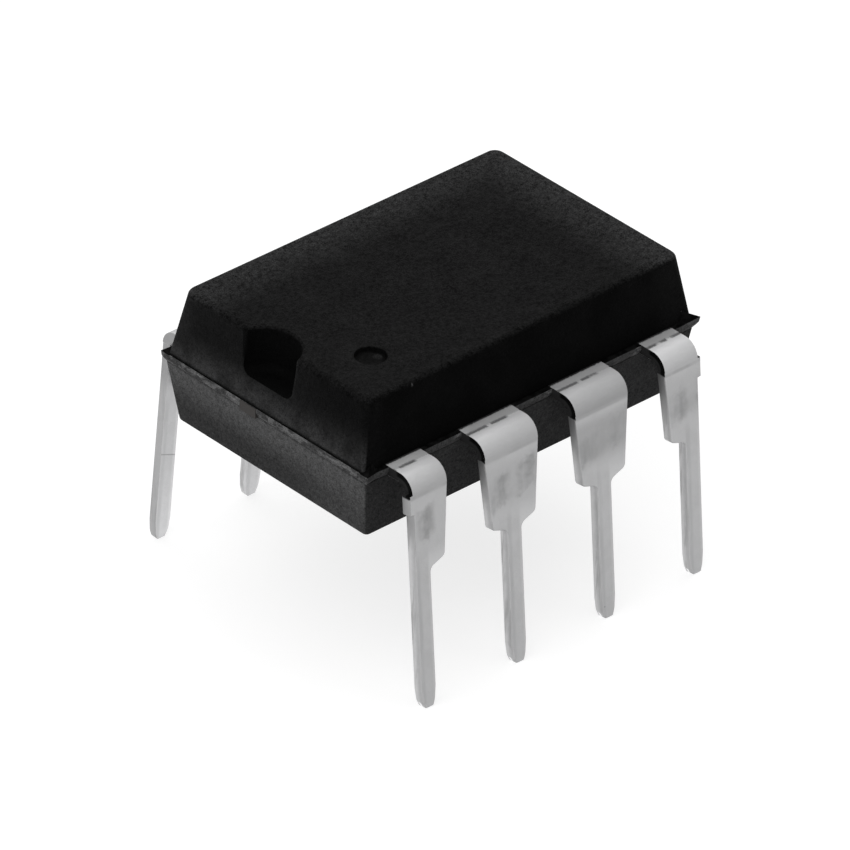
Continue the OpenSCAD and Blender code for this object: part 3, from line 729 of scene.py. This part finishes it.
def finishTin(name, face, bend, metallic):
    look = {"dark": 0.96 * face, "light": 1.04 * face, "line": 0.86 * face, "rim": 1.3 * face,
            "shoulder": 0.92 * face, "shoulderThree": 0.79 * face, "smudge": 0.62 * face,
            "bendBack": 1.20 * bend, "bendFront": 0.93 * bend, "creaseShade": 0.74 * bend,
            "film": 0.38, "groove": 0.13, "resin": 0.010, "speck": 0.12, "nick": 0.19}
    place = tinPlace
    material, shader = newMaterial(name, Metallic=metallic, Specular_IOR_Level=0.3)
    where = millimetres(material)
    x, y, z = axes(material, where)
    localX = fromLead(material, x)
    out = unsigned(material, y)
    streak = noise(material, millimetres(material, (5.0, 5.0, 0.3)), 1.0, 3.0, 0.55)
    cloud = noise(material, where, 2.2, 3.0, 0.6)
    fine = noise(material, where, 28.0, 2.0, 0.5)
    uneven = noise(material, where, 5.0, 2.0, 0.6)

    def reach(value, limits):
        return between(material, value, *limits)

    def inside(value, limits):
        return window(material, value, *limits)

    def paint(amount, under, level):
        return blend(material, amount, under, grey(look[level]))

    # the leg has painted shade in a line along its left, where the rolled edge turns away, and a painted highlight
    # along its right edge
    colour = paint(between(material, cloud, 0.35, 0.65), grey(look["dark"]), "light")
    onLeg = reach(z, place["leg"])
    line = times(material, inside(localX, place["line"]), onLeg, between(material, streak, 0.3, 0.6, 0.2, 0.8))
    colour = paint(line, colour, "line")
    colour = paint(times(material, reach(localX, place["rim"]), onLeg), colour, "rim")
    # the shoulders are a little duller, with smudges on their two sides between slanting limits
    atThree = inside(x, place["leadThree"])
    dulled = paint(atThree, grey(look["shoulder"]), "shoulderThree")
    dulled = blend(material, reach(x, place["pastLeadOne"]), grey(face), dulled)
    colour = blend(material, inside(z, place["shoulder"]), colour, dulled)
    level = scaled(material, uneven, 0.5, scaled(material, localX, place["smudgeSlant"], z))
    level = compute(material, "SUBTRACT", level, place["smudgeLift"])
    fromMiddle = compute(material, "SUBTRACT", localX, place["smudgeMiddle"])
    aside = unsigned(material, scaled(material, uneven, 0.3, fromMiddle))
    sides = times(material, reach(aside, place["smudgeInner"]), reach(aside, place["smudgeOuter"]))
    atOne = reach(x, place["leadOne"])
    sides = times(material, sides, compute(material, "SUBTRACT", 1.0, atOne))
    sides = compute(material, "MAXIMUM", sides, times(material, atOne, inside(localX, place["smudgeOne"])))
    smudge = times(material, inside(level, place["smudge"]), sides,
                   between(material, streak, 0.30, 0.66, 0.50, 1.0), between(material, cloud, 0.34, 0.60, 0.5, 1.0))
    colour = paint(smudge, colour, "smudge")
    # the bend is painted bright, brightest toward its top as lit from above, dimmer toward the left and dimmest
    # around lead 3, over painted shade along the crease
    bendLook = paint(reach(out, place["bendOver"]), grey(look["bendBack"]), "bendFront")
    toned = compute(material, "MINIMUM", between(material, x, *place["leadFour"], 0.88, 1.0),
                    between(material, atThree, 0.0, 1.0, 1.0, 0.74))
    colour = blend(material, reach(z, place["bend"]), colour, blend(material, toned, grey(0.0), bendLook))
    creaseShade = times(material, inside(z, place["creaseShade"]), between(material, cloud, 0.36, 0.60, 0.2, 0.8))
    colour = paint(creaseShade, colour, "creaseShade")
    # resin film on the neck, dark dashes painted as shade in the bending tool's groove, and resin that bled over
    # the metal
    ragged = scaled(material, fine, -0.05, out)
    colour = paint(reach(ragged, place["film"]), colour, "film")
    gap = compute(material, "MAXIMUM", inside(localX, place["gap"]), reach(localX, place["dashEnd"]))
    dash = between(material, noise(material, where, 3.4), 0.25, 0.45)
    dash = compute(material, "SUBTRACT", dash, gap, clamp=True)
    colour = paint(times(material, inside(ragged, place["groove"]), dash), colour, "groove")
    colour = paint(reach(ragged, place["resin"]), colour, "resin")
    # specks on the near row and a fine nick across lead 8
    for speckX, speckZ, across in place["specks"]:
        speck = between(material, away(material, x, z, (speckX, speckZ)), across, across * 0.4, 0.0, 0.6)
        colour = paint(times(material, speck, reach(y, place["nearRow"])), colour, "speck")
    slant = scaled(material, x, place["nickSlope"], z)
    nick = times(material, inside(slant, place["nick"]), reach(y, place["farRow"]), reach(x, place["leadEight"]))
    colour = paint(times(material, nick, 0.45), colour, "nick")
    join(material, colour, shader.inputs["Base Color"])
    dull = scaled(material, streak, 0.10, between(material, cloud, 0.3, 0.7, 0.52, 0.60))
    join(material, dull, shader.inputs["Roughness"])
    peened = noise(material, where, 9.0, 3.0, 0.6)
    bump(material, shader, scaled(material, peened, 2.5, fine), 0.000006, 0.7)
    return material


def finishCut(name, bright, resinTop):   # cut sides: bright metal, and above the level given resin from the mould
    look = {"front": 0.42, "streak": 0.336, "shoulder": 0.31, "tip": 0.95, "resin": 0.0025, "residue": 0.024}
    place = {
        "front": (0.18, 0.36), "shoulder": (3.6, 4.4), "tipZ": (0.15, 0.11), "tip": (0.20, 0.23, 0.26, 0.29),
        "crescentShade": (0.28, 0.32), "crescentShadeY": (3.28, 3.36), "wear": 0.03,
    }
    material, shader = newMaterial(name, Specular_IOR_Level=0.03)
    where = millimetres(material)
    x, y, z = axes(material, where)
    out = unsigned(material, y)
    cloud = noise(material, where, 5.0, 3.0, 0.6)
    leanCos, leanSin = math.cos(lead["splay"]), math.sin(lead["splay"])
    through = scaled(material, z, leanSin, times(material, out, leanCos))
    # painted shade across the thickness of the side: bright toward the back, darker toward the rolled front edge;
    # the offset under the key wear shifts where it starts
    middle = lead["bendY"] * leanCos + lead["bendZ"] * leanSin + place["wear"]
    shadeReach = scaled(material, cloud, 0.06, compute(material, "SUBTRACT", through, middle))
    colour = blend(material, between(material, shadeReach, *place["front"]), grey(bright), grey(look["front"]))
    streak = noise(material, millimetres(material, (9.0, 9.0, 0.8)), 1.0, 3.0, 0.6)
    colour = blend(material, between(material, streak, 0.50, 0.66, 0.0, 0.7), colour, grey(look["streak"]))
    colour = blend(material, between(material, z, *place["shoulder"]), colour, grey(look["shoulder"]))
    # a painted highlight on the small cut facet low on the tip
    tip = times(material, between(material, z, *place["tipZ"]), window(material, shadeReach, *place["tip"]))
    colour = blend(material, tip, colour, grey(look["tip"]))
    # resin and shade: a dark crescent of painted shade just behind the face of the bend, and paler resin residue
    # further in
    run = compute(material, "MAXIMUM", compute(material, "SUBTRACT", out, lead["bendY"]), 0.0)
    rise = compute(material, "MAXIMUM", compute(material, "SUBTRACT", z, lead["bendZ"]), 0.0)
    fromBend = scaled(material, cloud, 0.05, length(material, run, rise))
    crescentShade = times(material, between(material, fromBend, *place["crescentShade"]),
                     between(material, out, *place["crescentShadeY"]))
    resin = blend(material, crescentShade, grey(look["residue"]), grey(look["resin"]))
    resinHere = between(material, scaled(material, cloud, 0.10, z), resinTop + 0.02, resinTop + 0.07)
    join(material, blend(material, resinHere, colour, resin), shader.inputs["Base Color"])
    join(material, compute(material, "SUBTRACT", 1.0, resinHere), shader.inputs["Metallic"])
    join(material, between(material, cloud, 0.3, 0.7, 0.46, 0.56), shader.inputs["Roughness"])
    bump(material, shader, noise(material, where, 24.0), 0.000004, 0.6)
    return material


def finishInside(name, low, high, metallic, roughness, scale, bumpHeight, stretch=(1, 1, 1), **fixed):
    material, shader = newMaterial(name, Metallic=metallic, **fixed)
    where = millimetres(material, stretch)
    patch = noise(material, where, scale, 3.0, 0.6)
    join(material, blend(material, between(material, patch, 0.35, 0.65), low, high), shader.inputs["Base Color"])
    join(material, between(material, patch, 0.3, 0.7, roughness - 0.06, roughness + 0.06),
         shader.inputs["Roughness"])
    bump(material, shader, noise(material, where, scale * 5), bumpHeight, 0.6)
    return material


def tarnish(material, colour):   # the cut ends of the tie bars are dull and dark
    shader = material.node_tree.nodes["Principled BSDF"]
    metal = shader.inputs["Base Color"].links[0].from_socket
    x = axes(material, millimetres(material))[0]
    ends = between(material, unsigned(material, x), 4.50, 4.58)
    join(material, blend(material, ends, metal, colour), shader.inputs["Base Color"])
    join(material, compute(material, "SUBTRACT", 1.0, ends), shader.inputs["Metallic"])


def wear(piece, *materials):
    piece.data.materials.clear()
    for material in materials:
        piece.data.materials.append(material)


resin = finishResin("mouldedResin")
flashResin = finishFlash("flashResin")
ledgeShadeResin = finishInside("ledgeShadeResin", (0.001, 0.001, 0.001), (0.006, 0.006, 0.006), 0.0, 0.7, 6.0, 0.000004,
                          Specular_IOR_Level=0.02)
tin = finishTin("tinPlate", 0.60, 0.60, 0.35)
# the same tin painted brighter, as painted light for faces that see the bright floor
paintedBrightTin = finishTin("paintedBrightTin", 0.69, 0.70, 1.0)
cutSide = finishCut("cutSide", 0.60, 4.95)
cleanSide = finishCut("cleanSide", 0.40, 6.0)
copper = finishInside("padCopper", (0.42, 0.22, 0.12), (0.62, 0.36, 0.22), 1.0, 0.36, 3.0, 0.000003, (6, 1, 1),
                      Specular_IOR_Level=0.05)
tarnish(copper, (0.060, 0.056, 0.054))
adhesive = finishInside("silverAdhesive", (0.34, 0.34, 0.32), (0.52, 0.52, 0.49), 0.4, 0.55, 14.0, 0.000006)
silicon = finishInside("siliconFace", (0.05, 0.055, 0.075), (0.12, 0.13, 0.17), 0.3, 0.18, 4.0, 0.000001)
gold = finishInside("goldWire", (0.70, 0.50, 0.18), (0.86, 0.66, 0.30), 1.0, 0.25, 20.0, 0.000001)

wear(upperHalf, resin)
wear(lowerHalf, resin)
wear(curb, flashResin, ledgeShadeResin)
# painted shade: the ledge on top of the flash and the corners by the wall get a near-black resin, for the shadow of
# the wall above
for face in curb.data.polygons:   # the ledge on top of the flash is as dark as the side above it
    onLedge = face.normal.z > 0.6 and abs(face.center.x) < 4.5
    atCorner = abs(face.center.y) > 2.75 and face.center.z > 5.375 and face.normal.z > 0.1
    face.material_index = 1 if onLedge or atCorner else 0
for number in leads:
    wear(leads[number], tin, paintedBrightTin, cutSide, cleanSide)
    facing = -1 if number < 5 else 1
    for face in leads[number].data.polygons:
        if abs(face.normal.x) > 0.45 and abs(face.center.y) > 2.8:   # lead 8 was cut clean on its outer side
            face.material_index = 3 if number == 8 and face.normal.x < 0 else 2
        # faces turned in toward the body and the tips' undersides wear the tin painted brighter
        elif face.normal.y * facing < -0.5 and abs(face.center.y) > 3.0:
            face.material_index = 1
        elif face.normal.z < -0.25 and face.center.z < 0.05:
            face.material_index = 1
        elif number != 8 and face.normal.z > 0.4 and face.area < 0.02 and near(face.center.z, lead["bendZ"], 0.04):
            face.material_index = 2   # the top of the small stub
wear(cadNodes["die_pad"], copper)
wear(cadNodes["die_attach"], adhesive)
wear(cadNodes["silicon_die"], silicon)
for number in range(1, 9):
    wear(cadNodes[f"bond_wire_{number}"], gold)
print("every piece has its material")


# FINISHING: the two halves become one piece, and all pieces go to metres and ride on the body

bpy.ops.object.select_all(action="DESELECT")
bpy.context.view_layer.objects.active = upperHalf
upperHalf.select_set(True)
lowerHalf.select_set(True)
bpy.ops.object.join()
for piece in (upperHalf, curb, *leads.values()):
    bringHome(piece)
    bpy.ops.object.shade_smooth_by_angle(angle=math.radians((flash if piece == curb else mould)["smooth"]))
    useModifier(piece, "WEIGHTED_NORMAL", keep_sharp=True, weight=80)
    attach(piece, "root")
for number in leads:
    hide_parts(f"lead_{number}")
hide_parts("moulded_body")
for piece in (upperHalf, curb, *leads.values()):
    print(piece.name, len(piece.data.polygons), "faces,",
          [round(1000 * (piece.matrix_world @ Vector(c))[i], 3) for c in (piece.bound_box[0], piece.bound_box[6])
           for i in range(3)])


# STUDIO

studio = {
    "floorSize": 3.0, "floorColour": (0.38, 0.40), "floorGlow": 0.72, "ambient": 0.42,
    "key": {"where": (-0.34, -0.10, 0.30), "size": 0.50, "power": 1.0},
    "top": {"where": (0.08, 0.10, 0.46), "size": 0.55, "power": 1.2},
}


def backgroundRays(material):  # 1 for rays that see the background: camera, glossy and transmission
    path = add(material, "ShaderNodeLightPath")
    seen = compute(material, "MAXIMUM", path.outputs["Is Camera Ray"], path.outputs["Is Glossy Ray"])
    return compute(material, "MAXIMUM", seen, path.outputs["Is Transmission Ray"])


bpy.ops.object.select_all(action="DESELECT")
bpy.ops.mesh.primitive_plane_add(size=studio["floorSize"], location=(0, 0, 0))
floor = bpy.context.object
floor.name = "studioFloor"
paper, paperShader = newMaterial("floorPaper", Roughness=0.9, Specular_IOR_Level=0.1)
tone = between(paper, noise(paper, millimetres(paper), 0.02, 1.0), 0.3, 0.7, *studio["floorColour"])
join(paper, tone, paperShader.inputs["Base Color"])
paperShader.inputs["Emission Color"].default_value = (1, 1, 1, 1)
join(paper, times(paper, backgroundRays(paper), studio["floorGlow"]), paperShader.inputs["Emission Strength"])
wear(floor, paper)

world = bpy.data.worlds.new("studioWorld")
bpy.context.scene.world = world
world.use_nodes = True
backdrop = world.node_tree.nodes["Background"]
backdrop.inputs["Color"].default_value = (1, 1, 1, 1)
join(world, between(world, backgroundRays(world), 0.0, 1.0, studio["ambient"], 1.0),
     backdrop.inputs["Strength"])

for name in ("key", "top"):
    lamp = studio[name]
    bpy.ops.object.light_add(type="AREA", location=lamp["where"])
    light = bpy.context.object
    light.name = name + "Lamp"
    light.data.size = lamp["size"]
    light.data.energy = lamp["power"]
    light.rotation_euler = (Vector((0, 0, 0.004)) - Vector(lamp["where"])).to_track_quat("-Z", "Y").to_euler()

view = {
    "azimuth": -44.008, "elevation": 32.979, "roll": 2.140,
    "distance": 0.213402, "target": (-0.00093, -0.00089, 0.0040), "lens": 438.55,
}
bpy.ops.object.camera_add()
camera = bpy.context.object
camera.name = "photoCamera"
camera.data.lens = view["lens"]
camera.data.sensor_width = 36
camera.data.clip_start = 0.01
camera.data.clip_end = 10
aimed, risen, rolled = (math.radians(view[k]) for k in ("azimuth", "elevation", "roll"))
back = Vector((math.sin(aimed) * math.cos(risen), -math.cos(aimed) * math.cos(risen), math.sin(risen)))
right = (-back).cross(Vector((0, 0, 1))).normalized()
up = right.cross(-back)
turnedRight = right * math.cos(rolled) + up * math.sin(rolled)
turnedUp = up * math.cos(rolled) - right * math.sin(rolled)
camera.matrix_world = Matrix.Translation(Vector(view["target"]) + back * view["distance"]) @ Matrix(
    (turnedRight, turnedUp, back)).transposed().to_4x4()
bpy.context.scene.camera = camera
bpy.context.scene.view_settings.view_transform = "Standard"
print("studio and camera are set")
